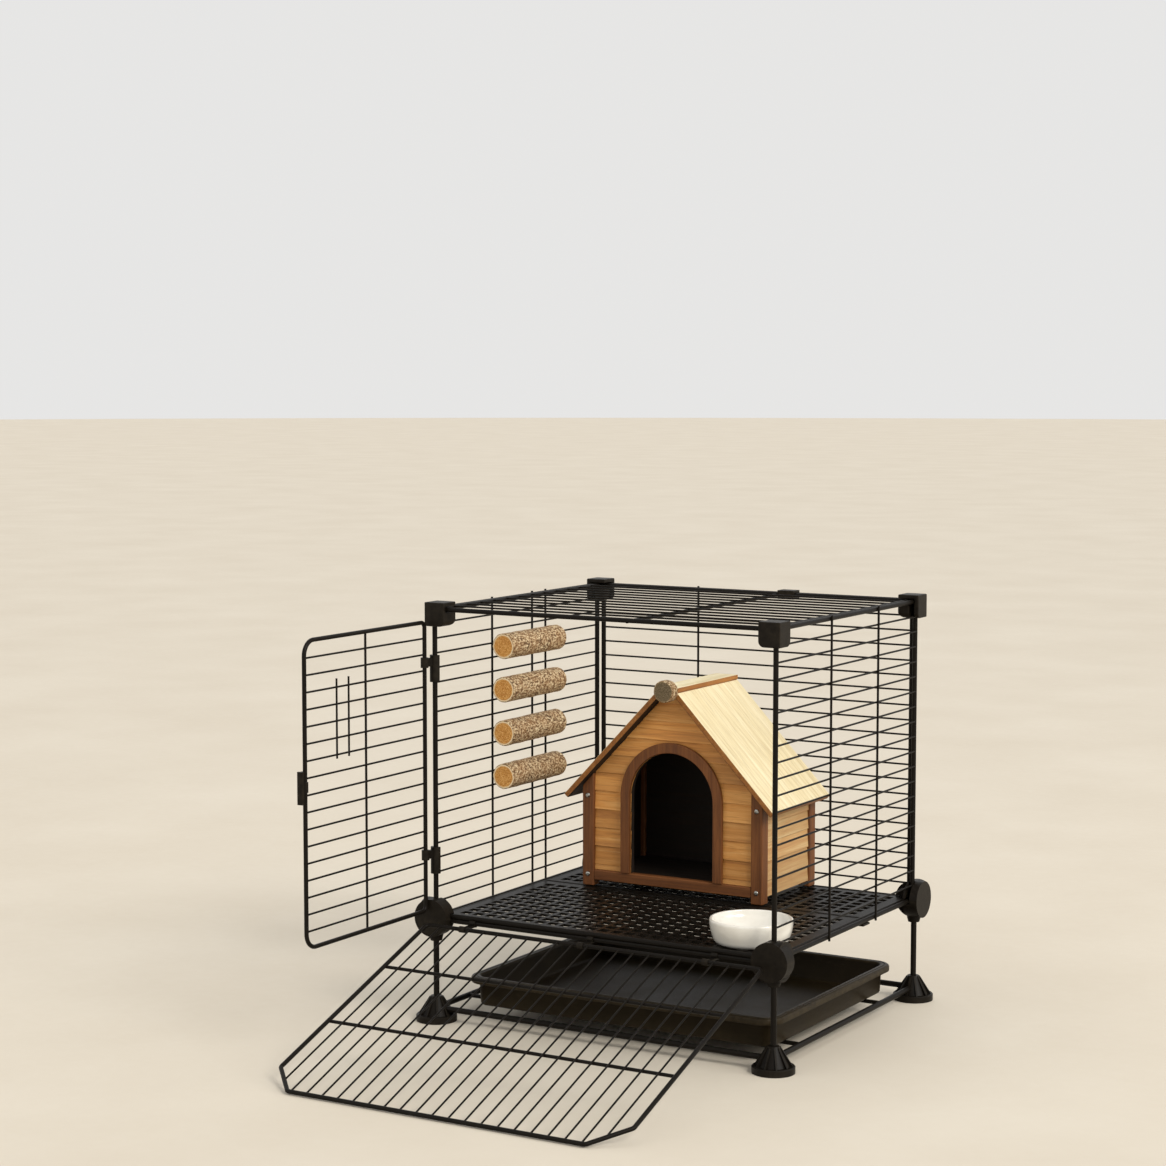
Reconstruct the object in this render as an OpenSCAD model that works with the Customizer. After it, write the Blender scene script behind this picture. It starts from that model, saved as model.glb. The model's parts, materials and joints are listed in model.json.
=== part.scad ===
// Small-pet hutch: wire cabin on four legs, with a swing door, a fold-up ramp, a slide-out tray,
// a wooden house, four chew logs and a bowl. Millimetres, +Z up, ground at z = 0.

/* [Cage] */
// Distance between the left and right post axes
cage_w = 450; // [430:1:470]
// Distance between the front and rear post axes
cage_d = 386; // [376:1:400]
// Height of the floor rails above the ground
floor_z = 126; // [120:1:132]
// Height of the top rails above the ground
top_z = 495; // [485:1:520]
// Height of the base rails above the ground
base_z = 15.4; // [14:0.2:17]

/* [Wire] */
// Diameter of the upright frame rods
post_d = 6; // [5.6:0.1:6.2]
// Diameter of the level frame rods
rail_d = 5.6; // [5:0.1:5.8]
// Diameter of the thin wires
wire_d = 2.3; // [2:0.1:2.4]
// Diameter of the cross wires
cross_d = 2.8; // [2.6:0.1:3]
// Spaces between the thin wires of a side panel
side_gaps = 21; // [18:1:22]

/* [Legs and tray] */
// Diameter of the legs and the base rails
leg_d = 7; // [6:0.5:7]
// Diameter of the feet
foot_d = 49; // [44:1:52]
// Width of the tray rim, left to right
tray_w = 414; // [380:1:416]
// Depth of the tray rim, front to back
tray_d = 330; // [300:1:340]
// Height of the tray rim above the ground
tray_top = 55.4; // [48:0.2:70]

/* [Door and ramp] */
// Width of the door between its upright rods
door_w = 236; // [200:1:240]
// Height of the lower door rail above the ground
door_z0 = 135.4; // [134:0.2:140]
// Height of the upper door rail above the ground
door_z1 = 480.4; // [440:0.2:484]
// Diameter of the door and ramp frame rods
bent_d = 5; // [4.6:0.1:5.2]
// Width of the ramp between its side rods
ramp_w = 445; // [420:1:446]
// Reach of the lowered ramp in front of its hinge
ramp_run = 322; // [300:1:330]

/* [House] */
// Width of the house over its corner posts
house_w = 253; // [240:1:258]
// Depth of the house over its corner posts
house_d = 148; // [130:1:148]
// Width of the doorway
door_gap = 117; // [90:1:120]
// Height of the eaves above the ground
eave_z = 245; // [236:1:248]
// Height of the roof shoulder under the ridge board
ridge_z = 383; // [370:1:390]

/* [Logs and bowl] */
// Diameter of the chew logs
log_d = 33; // [28:1:34]
// Length of the chew logs
log_len = 125; // [100:1:130]
// Outer diameter of the bowl
bowl_d = 96; // [80:1:98]
// Height of the bowl
bowl_h = 28; // [24:1:34]

/* [Hidden] */
$fn = 48;

// names
SIDES = ["left", "right"];
DEPTHS = ["front", "rear"];
LEVELS = ["upper", "lower"];

// colours
STEEL = "#16130f";
PLASTIC = "#2a2620";
TRAY = "#1f1c19";
ZINC = "#b9b8b4";
PLANK = "#c08440";
TRIM = "#6b3d1c";
PINE = "#ecdcae";
BARK = "#8a745c";
GLAZE = "#f0ece4";

// fits
fit = 0.1;
slip = 0.3;
far = 80;

// cage
cage_h = top_z - floor_z;
inset = 6.5;
rear_step = 6;
top_back = cage_d - 7;
weld_row = 1.5;
weld_cross = 3.5;
tip = 4;
mid_bar_x = 262;
mid_bar_d = 4.4;
mid_bar_drop = 1.2;
mid_bar_over = 0.7;
mid_clip_x = [265.5, 288];
mid_clip_half = 5.5;
mid_clip_over = 5;
top_gaps = 13;
mesh_rod_d = 5.5;
mesh_front = 7;
mesh_seam = 240;
seam_half = 3.2;
mesh_pitch = 17.3;
mesh_hole = 12.4;
mesh_sheet = 2.9;
mesh_sink = 0.5;
seam_clip_half = 9;
seam_clip_in = 10;
seam_clip_t = 2.5;
front_rail_d = 5.8;
front_rail_step = 2.8;

// connectors
disc_r = 22.5;
disc_out = 13;
disc_t = 18.5;
neck_h = 16;
cap_out = 9;
cap_in = 18;
cap_z0 = -20;
cap_z1 = 8.5;
cap_round = 7;
slot = post_d / 2 + slip;
neck_r = [7, 11];
neck_drop = 6;

// legs, feet and base
foot_r = foot_d / 2;
foot_rim = 8;
foot_h = 30;
foot_edge = 1;
foot_cone_r = [foot_r - 6, 7];
foot_ribs = 10;
foot_rib_t = 2;
foot_rib_r = [foot_r - 1.5, 8.5];
leg_z0 = 3.2;
leg_z1 = floor_z - 4;
rail_end = leg_d / 2 + 1;
runner_d = 5;
runner_in = 2.5;
runner_y = [70, 290];

// tray
tray_x0 = 33;
tray_y0 = 9;
tray_wall = 2.5;
tray_lip = 9;
tray_lip_h = 8;
tray_r = 24;
tray_z0 = base_z + leg_d / 2 + slip;

// door
hinge = [-4, -16];
door_gaps = 18;
door_h = door_z1 - door_z0;
door_bend = 17;
door_corner = 7;
door_cross = 118;
guard_x = [151, 174];
guard_z = [206, 297];
door_pitch = door_h / door_gaps;
door_cross_step = 1.3;
hinge_z = [for (gap = [15, 3]) door_z0 + (gap + 0.5) * door_pitch];
grip_r = 6.2;
grip_z = [-24, 8];
grip_back = 1;
knuckle_h = 12;
knuckle_t = 2.2;
hinge_arm_h = knuckle_h - 2;
hinge_arm_t = 4.4;
latch_z = 9.5 * door_pitch;
latch_h = 37;
latch_reach = 10;
latch_ring = 12;
latch_t = 3.6;
latch_lip = 3;
latch_free = 0.6;

// ramp
ramp_y = -23.5;
ramp_z = 120.5;
ramp_x0 = (cage_w - ramp_w) / 2;
slug_r = bent_d / 2 + 0.4;
slug_h = bent_d + 0.6;
tilt = atan((ramp_z - bent_d) / ramp_run);
ramp_rest = slug_r * sin(tilt) + slug_h / 2 * cos(tilt);
ramp_drop = ramp_z - ramp_rest;
ramp_slope = atan(ramp_drop / ramp_run);
ramp_len = norm([ramp_drop, ramp_run]);
ramp_gaps = 22;
ramp_wire_d = 2.2;
ramp_bar_d = 4;
ramp_bars = [0.27, 0.61];
ramp_cut = [36, 38];
ramp_wire_step = 0.6;
ramp_bar_step = -1.5;
ramp_clip_gap = [2, 10, 18];
ramp_clip_w = 8;
ramp_clip_d = 7.6;
ramp_clip_grip = front_rail_d + 3;
ramp_strap_t = 2.4;
ramp_strap_end = -1;

// logs
log_x = log_d / 2 + 3;
log_y0 = 120;
log_first = 440;
log_step = 53.5;
stud_d = 4;
stud_y = log_y0 + log_len / 2;
stud_drop = 5;
stud_x = [-13, log_x - 0.5];
washer_r = 9;
washer_t = 2;
washer_x = [-4.7, -0.3];
nut_x = -9;
nut_d = 9;
nut_t = 4;
wing = [2.5, 0.9, 12];
wing_root = 3;

// house
house_x = 189;
house_y = 237;
house_y1 = house_y + house_d;
post_w = 16;
board = 8;
sill_z0 = 137;
sill_z1 = 150;
wall_in = 4;
roof_t = 7;
roof_half = 147;
shoulder = 15;
roof_y0 = 226;
roof_run = roof_half - shoulder;
roof_angle = atan((ridge_z - eave_z) / roof_run);
roof_drop = roof_t / cos(roof_angle);
roof_gap = 0.2;
arch_z = 247.4;
trim_w = 12.5;
trim_t = 5;
plank_seam = 180;
plank_h = 23.4;
groove = 1.2;
wall_x = house_w / 2 - post_w;
side_x = house_w / 2 - 2;
floor_up = 3;
floor_t = 6;
ridge_board_t = 6;
ridge_log_d = 29;
ridge_log_len = 14;
ridge_log_off = [2.5, 2];
screw_d = 6;
screw_t = 1.5;
screw_low = 6;
screw_high = 12;

// bowl
bowl_pos = [cage_w - 57, 56];
bowl_wall = 5;
bowl_rim = 3;
bowl_foot = [6, 4];
bowl_dish = [8, 9];
bowl_floor = 14;
rest_z = floor_z + mesh_rod_d / 2 + 0.6;

// origin: centre of the whole footprint, ramp lowered
y_front = ramp_y - ramp_run - slug_r * cos(ramp_slope) - slug_h / 2 * sin(ramp_slope);
y_rear = cage_d + foot_r;
module at_origin() {
    translate([-cage_w / 2, -(y_front + y_rear) / 2, 0]) children();
}

// ---- shared shapes ----
module rod_x(x0, x1, y, z, d) {
    translate([x0, y, z]) rotate([0, 90, 0]) cylinder(d = d, h = x1 - x0);
}

module rod_y(y0, y1, x, z, d) {
    translate([x, y0, z]) rotate([-90, 0, 0]) cylinder(d = d, h = y1 - y0);
}

module rod_z(z0, z1, x, y, d) {
    translate([x, y, z0]) cylinder(d = d, h = z1 - z0);
}

module block(low, high) {
    translate(low) cube(high - low);
}

// Welded panel in the XZ plane, frame axes from (0, 0) to (w, h), wires welded on the +Y side
module wire_panel(w, h, gaps, crosses, side = 1) {
    for (x = [0, w]) rod_z(-post_d / 2, h + post_d / 2, x, 0, post_d);
    for (z = [0, h]) rod_x(0, w, 0, z, rail_d);
    for (i = [1 : gaps - 1]) rod_x(0, w, side * weld_row, h * i / gaps, wire_d);
    for (x = crosses) rod_z(-tip, h + tip, x, side * weld_cross, cross_d);
}

// Closed wire loop in the XY plane through the corners pts, counter-clockwise, bent to the radii given
function heading(a, b) = (b - a) / norm(b - a);
function turn_at(pts, i) =
    let (
        n = len(pts),
        u = heading(pts[(i + n - 1) % n], pts[i]),
        v = heading(pts[i], pts[(i + 1) % n])
    )
    atan2(cross(u, v), u * v);
function trim_at(pts, radii, i) = radii[i] * tan(turn_at(pts, i) / 2);

module bent_loop(pts, radii, d) {
    n = len(pts);
    for (i = [0 : n - 1]) {
        next = (i + 1) % n;
        v = heading(pts[i], pts[next]);
        start = pts[i] + v * trim_at(pts, radii, i);
        length = norm(pts[next] - start) - trim_at(pts, radii, next);
        aim = atan2(v.y, v.x);
        translate(start) rotate([0, 0, aim]) rotate([0, 90, 0]) cylinder(d = d, h = length);
        u_aim = aim - turn_at(pts, i);
        centre = start + radii[i] * [cos(aim + 90), sin(aim + 90)];
        translate(centre) rotate([0, 0, u_aim - 90]) rotate_extrude(angle = turn_at(pts, i))
            translate([radii[i], 0]) circle(d = d);
    }
}

// The same kind of loop with sharp corners, each closed by a short upright slug
module beaded_loop(pts, d) {
    n = len(pts);
    for (i = [0 : n - 1]) {
        run = pts[(i + 1) % n] - pts[i];
        rod_z(-slug_h / 2, slug_h / 2, pts[i].x, pts[i].y, 2 * slug_r);
        translate(pts[i]) rotate([0, 0, atan2(run.y, run.x)]) rotate([0, 90, 0])
            cylinder(d = d, h = norm(run));
    }
}

module rounded_rect(w, d, r) {
    translate([r, 0]) square([w - 2 * r, d]);
    translate([0, r]) square([w, d - 2 * r]);
    for (x = [r, w - r], y = [r, d - r]) translate([x, y]) circle(r = r);
}

// Places a front-left part at any of the four posts; the outer sides stay outside
module at_corner(side, depth) {
    translate([side == "left" ? 0 : cage_w, depth == "front" ? 0 : cage_d, 0])
        mirror([side == "left" ? 0 : 1, 0, 0])
            mirror([0, depth == "front" ? 0 : 1, 0]) children();
}

// ---- wire cabin ----
module left_panel() {
    color(STEEL) translate([0, 0, floor_z]) rotate([0, 0, 90])
        wire_panel(cage_d - rear_step, cage_h, side_gaps, [131, 224, 256]);
}

module right_panel() {
    color(STEEL) translate([cage_w, 0, floor_z]) rotate([0, 0, 90])
        wire_panel(cage_d - rear_step, cage_h, side_gaps - 1, [135, 264], -1);
}

module back_panel() {
    color(STEEL) translate([inset, cage_d, floor_z])
        wire_panel(cage_w - 2 * inset, cage_h, side_gaps - 1, [145 - inset]);
}

module top_panel() {
    color(STEEL) translate([inset, 0, top_z]) rotate([-90, 0, 0]) {
        wire_panel(cage_w - 2 * inset, top_back, top_gaps, [], -1);
        rod_z(-mid_bar_over, top_back + mid_bar_over, mid_bar_x - inset, mid_bar_drop, mid_bar_d);
    }
}

// Sheet with square holes between two seams, framed by four rods
module mesh_panel(y0, y1) {
    w = cage_w - 2 * inset;
    d = y1 - y0;
    columns = floor((w - mesh_rod_d) / mesh_pitch);
    rows = floor((d - mesh_rod_d) / mesh_pitch);
    x0 = (w - columns * mesh_pitch + mesh_pitch - mesh_hole) / 2;
    z0 = (d - rows * mesh_pitch + mesh_pitch - mesh_hole) / 2;
    translate([inset, y0, floor_z]) {
        for (y = [0, d]) rod_x(0, w, y, 0, mesh_rod_d - 0.3);
        for (x = [0, w]) rod_y(-mesh_rod_d / 2, d + mesh_rod_d / 2, x, 0, mesh_rod_d);
        translate([0, 0, -mesh_sink]) linear_extrude(mesh_sheet) difference() {
            square([w, d]);
            for (i = [0 : columns - 1], j = [0 : rows - 1])
                translate([x0 + i * mesh_pitch, z0 + j * mesh_pitch]) square(mesh_hole);
        }
    }
}

module floor_panel_front() {
    color(STEEL) mesh_panel(mesh_front, mesh_seam - seam_half);
}

module floor_panel_rear() {
    color(STEEL) mesh_panel(mesh_seam + seam_half, cage_d - mesh_front);
}

module front_floor_rail() {
    color(STEEL) for (z = [-front_rail_step, front_rail_step])
        rod_x(slot + slip, cage_w - slot - slip, 0, floor_z + z, front_rail_d);
}

// Plates under the side rails that carry both floor panels where they meet
module floor_seam_clips() {
    top = floor_z - post_d / 2 - fit;
    color(PLASTIC) for (side = SIDES) at_corner(side, "front")
        block([-rail_d / 2, mesh_seam - seam_clip_half, top - seam_clip_t],
            [seam_clip_in, mesh_seam + seam_clip_half, top]);
}

// Clip that ties the top panel to the back panel beside the middle bar
module top_mid_clip() {
    color(PLASTIC) difference() {
        block([mid_clip_x[0], top_back - mid_clip_over, top_z - mid_clip_half],
            [mid_clip_x[1], cage_d + mid_clip_over, top_z + mid_clip_half]);
        for (y = [top_back, cage_d]) rod_x(0, cage_w, y, top_z, rail_d + 2 * fit);
    }
}

// ---- legs, feet and base ----
module leg(side, depth) {
    color(STEEL) at_corner(side, depth) rod_z(leg_z0, leg_z1, 0, 0, leg_d);
}

module foot(side, depth) {
    color(PLASTIC) at_corner(side, depth) difference() {
        union() {
            cylinder(r = foot_r, h = foot_rim - foot_edge);
            translate([0, 0, foot_rim - foot_edge])
                cylinder(r1 = foot_r, r2 = foot_r - foot_edge, h = foot_edge);
            translate([0, 0, foot_rim])
                cylinder(r1 = foot_cone_r[0], r2 = foot_cone_r[1], h = foot_h - foot_rim);
            for (i = [0 : foot_ribs - 1]) rotate([90, 0, 360 * (i + 0.5) / foot_ribs])
                linear_extrude(foot_rib_t, center = true) polygon([
                    [0, 1], [foot_rib_r[0], 1], [foot_rib_r[0], foot_rim - 1.5],
                    [foot_rib_r[1], foot_h - 1], [0, foot_h - 1],
                ]);
        }
        rod_z(leg_z0 - 0.2, far, 0, 0, leg_d + 2 * fit);
        rod_x(0, far, 0, base_z, leg_d + 2 * fit);
        rod_y(0, far, 0, base_z, leg_d + 2 * fit);
    }
}

module base_rail_front() {
    color(STEEL) rod_x(rail_end, cage_w - rail_end, 0, base_z, leg_d);
}

module base_rail_rear() {
    color(STEEL) rod_x(rail_end, cage_w - rail_end, cage_d, base_z, leg_d);
}

// Side rail with two blind sockets for the runner ends
module base_rail_side(side) {
    color(STEEL) at_corner(side, "front") difference() {
        rod_y(rail_end, cage_d - rail_end, 0, base_z, leg_d);
        for (y = runner_y) rod_x(leg_d / 2 - runner_in - 0.2, far, y, base_z, runner_d + 2 * fit);
    }
}

module tray_runners() {
    end = leg_d / 2 - runner_in;
    color(STEEL) for (y = runner_y) rod_x(end, cage_w - end, y, base_z, runner_d);
}

module tray() {
    body_w = tray_w - 2 * tray_lip;
    body_d = tray_d - 2 * tray_lip;
    body_r = tray_r - tray_lip + 4;
    color(TRAY) translate([tray_x0, tray_y0, 0]) difference() {
        union() {
            translate([0, 0, tray_top - tray_lip_h]) linear_extrude(tray_lip_h)
                rounded_rect(tray_w, tray_d, tray_r);
            translate([tray_lip, tray_lip, tray_z0]) linear_extrude(tray_top - tray_z0 - 1)
                rounded_rect(body_w, body_d, body_r);
        }
        translate([tray_lip + tray_wall, tray_lip + tray_wall, tray_z0 + tray_wall]) linear_extrude(far)
            rounded_rect(body_w - 2 * tray_wall, body_d - 2 * tray_wall, body_r - tray_wall);
    }
}

// ---- connectors ----
// Two crossed discs and a collar, slotted for the panels. A front one has its whole disc at the
// front; a rear one has it at the side.
module disc_connector(side, depth) {
    front = depth == "front";
    panel_y = front ? -slot : rear_step - slot;
    rail_low = front ? -front_rail_step - front_rail_d / 2 - slip : -slot;
    rail_high = front ? -rail_low : far;
    color(PLASTIC) translate([0, 0, floor_z]) at_corner(side, depth) difference() {
        union() {
            intersection() {
                rod_y(-disc_out, disc_t - disc_out, 0, 0, 2 * disc_r);
                block([front ? -far : -disc_out, -far, -far], [far, far, far]);
            }
            intersection() {
                rod_x(-disc_out, disc_t - disc_out, 0, 0, 2 * disc_r);
                block([-far, front ? -disc_out : -far, -far], [far, far, far]);
            }
            translate([0, 0, -disc_r - neck_drop]) cylinder(r1 = neck_r[0], r2 = neck_r[1], h = neck_h);
        }
        rod_z(-far, leg_z1 - floor_z + slip, 0, 0, leg_d + 2 * fit);
        block([-slot, panel_y, -slot], [slot, far, far]);
        block([inset - slot, -slot, rail_low], [far, slot, rail_high]);
        block([slot, slot, -slot], [far, far, slot]);
    }
}

// Cube cap over a top corner, its two inner lower edges rounded
module cap_outline() {
    difference() {
        translate([-cap_out, cap_z0]) square([cap_out + cap_in, cap_z1 - cap_z0]);
        difference() {
            translate([cap_in - cap_round, cap_z0 - 1]) square([cap_round + 1, cap_round + 1]);
            translate([cap_in - cap_round, cap_z0 + cap_round]) circle(r = cap_round);
        }
    }
}

module top_connector(side, depth) {
    front = depth == "front";
    panel_y = front ? -slot : rear_step - slot;
    cover_y = front ? -slot : inset - slot;
    color(PLASTIC) translate([0, 0, top_z]) at_corner(side, depth) difference() {
        intersection() {
            translate([0, cap_in, 0]) rotate([90, 0, 0]) linear_extrude(cap_in + cap_out) cap_outline();
            translate([-cap_out, 0, 0]) rotate([90, 0, 90]) linear_extrude(cap_in + cap_out) cap_outline();
        }
        block([-slot, panel_y, -far], [slot, far, slot]);
        block([inset - slot, cover_y, -slot], [far, far, slot]);
        if (!front) block([inset - slot, -slot, -far], [far, slot, slot]);
    }
}

// ---- door ----
// The door is drawn closed along +X from its hinge rod, then stands open at a right angle
module door_place() {
    translate([hinge.x, hinge.y, door_z0]) rotate([0, 0, -90]) children();
}

module door_panel() {
    pts = [[0, 0], [door_w, 0], [door_w, door_h], [0, door_h]];
    radii = [door_corner, door_bend, door_bend, door_corner];
    color(STEEL) door_place() {
        rotate([90, 0, 0]) bent_loop(pts, radii, bent_d);
        for (i = [1 : door_gaps - 1]) rod_x(0, door_w, 0, i * door_pitch, wire_d);
        rod_z(0, door_h, door_cross, -door_cross_step, cross_d);
        for (x = guard_x) rod_z(guard_z[0], guard_z[1], x, -door_cross_step, wire_d);
    }
}

// Clip that grips the front left post from outside and carries the door rod in a round knuckle
module door_hinge(z) {
    color(PLASTIC) translate([0, 0, z]) difference() {
        union() {
            rod_z(grip_z[0], grip_z[1], 0, 0, 2 * grip_r);
            rod_z(-knuckle_h / 2, knuckle_h / 2, hinge.x, hinge.y, bent_d + 2 * knuckle_t);
            rotate([0, 0, atan2(hinge.y, hinge.x)])
                block([0, -hinge_arm_t / 2, -hinge_arm_h / 2],
                    [norm(hinge), hinge_arm_t / 2, hinge_arm_h / 2]);
        }
        rod_z(-far, far, 0, 0, post_d + 2 * fit);
        rod_z(-far, far, hinge.x, hinge.y, bent_d + 2 * fit);
        block([-far, grip_back, -far], [far, far, far]);
    }
}

// Clip that turns on the free rod of the door; its thumb tab points away from the wires
module door_latch() {
    color(PLASTIC) door_place() translate([door_w, 0, latch_z]) difference() {
        union() {
            rod_z(-latch_ring / 2, latch_ring / 2, 0, 0, 2 * latch_t);
            block([0, -latch_t / 2, -latch_h / 2], [latch_reach, latch_t / 2, latch_h / 2]);
            block([latch_reach - latch_lip, -latch_t, -latch_h / 2], [latch_reach, latch_t, latch_h / 2]);
        }
        rod_z(-far, far, 0, 0, bent_d + 2 * fit);
        for (s = [-1, 1]) block([-far, -far, s > 0 ? latch_ring / 2 : -far],
            [bent_d / 2 + latch_free, far, s > 0 ? far : -latch_ring / 2]);
    }
}

// ---- ramp ----
module ramp_panel() {
    pts = [
        [0, 0], [0, ramp_cut.y - ramp_len], [ramp_cut.x, -ramp_len],
        [ramp_w - ramp_cut.x, -ramp_len], [ramp_w, ramp_cut.y - ramp_len], [ramp_w, 0],
    ];
    pitch = ramp_w / ramp_gaps;
    cut_slope = ramp_cut.y / ramp_cut.x;
    color(STEEL) translate([ramp_x0, ramp_y, ramp_z]) rotate([ramp_slope, 0, 0]) {
        beaded_loop(pts, bent_d);
        for (i = [1 : ramp_gaps - 1]) {
            edge = min(i, ramp_gaps - i) * pitch;
            end = ramp_len - max(0, ramp_cut.x - edge) * cut_slope;
            rod_y(-end, 0, i * pitch, ramp_wire_step, ramp_wire_d);
        }
        for (t = ramp_bars) rod_x(0, ramp_w, -t * ramp_len, ramp_bar_step, ramp_bar_d);
    }
}

// Clips on the lower front rail; each strap passes under the door to a ring on the ramp rod
module ramp_hinge_clips() {
    pitch = ramp_w / ramp_gaps;
    color(PLASTIC) for (gap = ramp_clip_gap) difference() {
        x0 = ramp_x0 + (gap + 0.5) * pitch - ramp_clip_w / 2;
        x1 = x0 + ramp_clip_w;
        union() {
            rod_x(x0, x1, ramp_y, ramp_z, ramp_clip_d);
            rod_x(x0, x1, 0, floor_z - front_rail_step, ramp_clip_grip);
            block([x0, ramp_y, ramp_z - ramp_strap_t / 2], [x1, ramp_strap_end, ramp_z + ramp_strap_t / 2]);
        }
        rod_x(0, cage_w, ramp_y, ramp_z, bent_d + 2 * fit);
        for (z = [-front_rail_step, front_rail_step])
            rod_x(0, cage_w, 0, floor_z + z, front_rail_d + 2 * fit);
    }
}

// ---- chew logs ----
function log_z(i) = log_first - (i - 1) * log_step;

module chew_log(i) {
    color(BARK) difference() {
        rod_y(log_y0, log_y0 + log_len, log_x, log_z(i), log_d);
        rod_x(-far, log_x, stud_y, log_z(i) - stud_drop, stud_d + 2 * fit);
    }
}

module log_studs() {
    color(ZINC) for (i = [1 : 4]) rod_x(stud_x[0], stud_x[1], stud_y, log_z(i) - stud_drop, stud_d);
}

// One washer on each side of the wires
module log_washers() {
    color(ZINC) for (i = [1 : 4], x = washer_x) difference() {
        rod_x(x, x + washer_t, stud_y, log_z(i) - stud_drop, 2 * washer_r);
        rod_x(-far, far, stud_y, log_z(i) - stud_drop, stud_d + 2 * fit);
    }
}

module log_wing_nuts() {
    color(ZINC) for (i = [1 : 4]) translate([nut_x, stud_y, log_z(i) - stud_drop]) difference() {
        union() {
            rod_x(0, nut_t, 0, 0, nut_d);
            for (turn = [-90, 90]) rotate([turn, 0, 0]) block([-wing.x, -wing.y, wing_root], wing);
        }
        rod_x(-far, far, 0, 0, stud_d + 2 * fit);
    }
}

// ---- house ----
function roof_under(h) = ridge_z - roof_drop - (h - shoulder) * tan(roof_angle) - roof_gap;

module house_place() {
    translate([house_x, 0, 0]) children();
}

module arch(half, z0) {
    translate([-half, z0]) square([2 * half, arch_z - z0]);
    translate([0, arch_z]) circle(r = half, $fn = 96);
}

module gable_outline(low) {
    flat = shoulder - roof_drop / tan(roof_angle) - 0.3;
    polygon([
        [-wall_x + fit, low], [wall_x - fit, low], [wall_x - fit, roof_under(wall_x)],
        [flat, ridge_z - 0.3], [-flat, ridge_z - 0.3], [-wall_x + fit, roof_under(wall_x)],
    ]);
}

// Shadow lines between the planks of a gable wall whose outer face is at y
module gable_seams(y) {
    for (z = [plank_seam : plank_h : ridge_z])
        block([-house_w, y - groove, z], [house_w, y + groove, z + groove]);
}

module house_front_wall() {
    front = house_y + wall_in;
    color(PLANK) house_place() difference() {
        translate([0, front + board, 0]) rotate([90, 0, 0]) linear_extrude(board) difference() {
            gable_outline(sill_z1);
            arch(door_gap / 2, 0);
        }
        gable_seams(front);
    }
}

module house_rear_wall() {
    rear = house_y1 - wall_in;
    color(PLANK) house_place() difference() {
        translate([0, rear, 0]) rotate([90, 0, 0]) linear_extrude(board) gable_outline(sill_z0);
        gable_seams(rear);
    }
}

module house_side_wall(side) {
    color(PINE) house_place() mirror([side, 0, 0]) difference() {
        translate([0, house_y1 - post_w - fit, 0]) rotate([90, 0, 0])
            linear_extrude(house_d - 2 * post_w - 2 * fit) polygon([
                [-side_x, sill_z0], [board - side_x, sill_z0],
                [board - side_x, roof_under(side_x - board)], [-side_x, roof_under(side_x)],
            ]);
        for (z = [plank_seam - plank_h : plank_h : eave_z])
            block([-side_x - groove, house_y, z], [groove - side_x, house_y1, z + groove]);
    }
}

module house_floor() {
    front = house_y + wall_in + board + fit;
    half = side_x - board - fit;
    clear = post_w + fit;
    color(TRIM) house_place() difference() {
        block([-half, front, sill_z0 + floor_up],
            [half, house_y1 - wall_in - board - fit, sill_z0 + floor_up + floor_t]);
        for (s = [-1, 1], y = [house_y, house_y1])
            block([min(s * wall_x, s * house_w) - fit, y - clear, 0],
                [max(s * wall_x, s * house_w) + fit, y + clear, sill_z1]);
    }
}

module house_posts(y) {
    outer = house_w / 2;
    for (side = [0, 1]) house_place() mirror([side, 0, 0]) translate([0, y + post_w, 0])
        rotate([90, 0, 0]) linear_extrude(post_w) polygon([
            [-outer, rest_z], [-wall_x, rest_z], [-wall_x, roof_under(wall_x)], [-outer, roof_under(outer)],
        ]);
}

module house_front_posts() {
    color(TRIM) house_posts(house_y);
}

module house_rear_posts() {
    color(TRIM) house_posts(house_y1 - post_w);
}

module house_front_sill() {
    color(TRIM) house_place()
        block([-wall_x + fit, house_y + 1, sill_z0],
            [wall_x - fit, house_y + wall_in + board, sill_z1 - fit]);
}

module house_arch_trim() {
    color(TRIM) house_place() translate([0, house_y + wall_in - fit, 0]) rotate([90, 0, 0])
        linear_extrude(trim_t) difference() {
            arch(door_gap / 2 + trim_w, sill_z1);
            arch(door_gap / 2, 0);
        }
}

module house_roof(side) {
    shift = roof_t * [sin(roof_angle), -cos(roof_angle)];
    inner = shoulder - roof_drop / tan(roof_angle);
    color(PINE) house_place() mirror([side, 0, 0]) translate([0, house_y1, 0]) rotate([90, 0, 0])
        linear_extrude(house_y1 - roof_y0)
            polygon([
                [-inner, ridge_z], [-shoulder, ridge_z], [-roof_half, eave_z], [-roof_half, eave_z] + shift,
            ]);
}

module house_ridge_board() {
    color(PINE) house_place()
        block([-shoulder - 1, roof_y0, ridge_z + fit], [shoulder + 1, house_y1, ridge_z + ridge_board_t]);
}

module house_ridge_log() {
    z = ridge_z + ridge_log_off.y;
    color(BARK) house_place()
        rod_y(roof_y0 - ridge_log_len, roof_y0 - fit, ridge_log_off.x, z, ridge_log_d);
}

module house_screws() {
    heights = [sill_z1 - screw_low, roof_under(house_w / 2) - screw_high];
    color(ZINC) house_place() for (s = [-1, 1], z = heights)
        rod_y(house_y - screw_t, house_y - fit, s * (house_w - post_w) / 2, z, screw_d);
}

// ---- bowl ----
module bowl() {
    r = bowl_d / 2;
    color(GLAZE) translate([bowl_pos.x, bowl_pos.y, rest_z]) rotate_extrude($fn = 96) polygon([
        [0, 0], [r - bowl_foot[0], 0], [r - bowl_foot[1] / 2, bowl_foot[1]],
        [r, bowl_h - bowl_rim], [r - bowl_rim / 2, bowl_h],
        [r - bowl_wall + bowl_rim / 2, bowl_h], [r - bowl_wall, bowl_h - bowl_rim],
        [r - bowl_dish[0], bowl_dish[1]], [r - bowl_floor, bowl_wall], [0, bowl_wall],
    ]);
}

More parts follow.
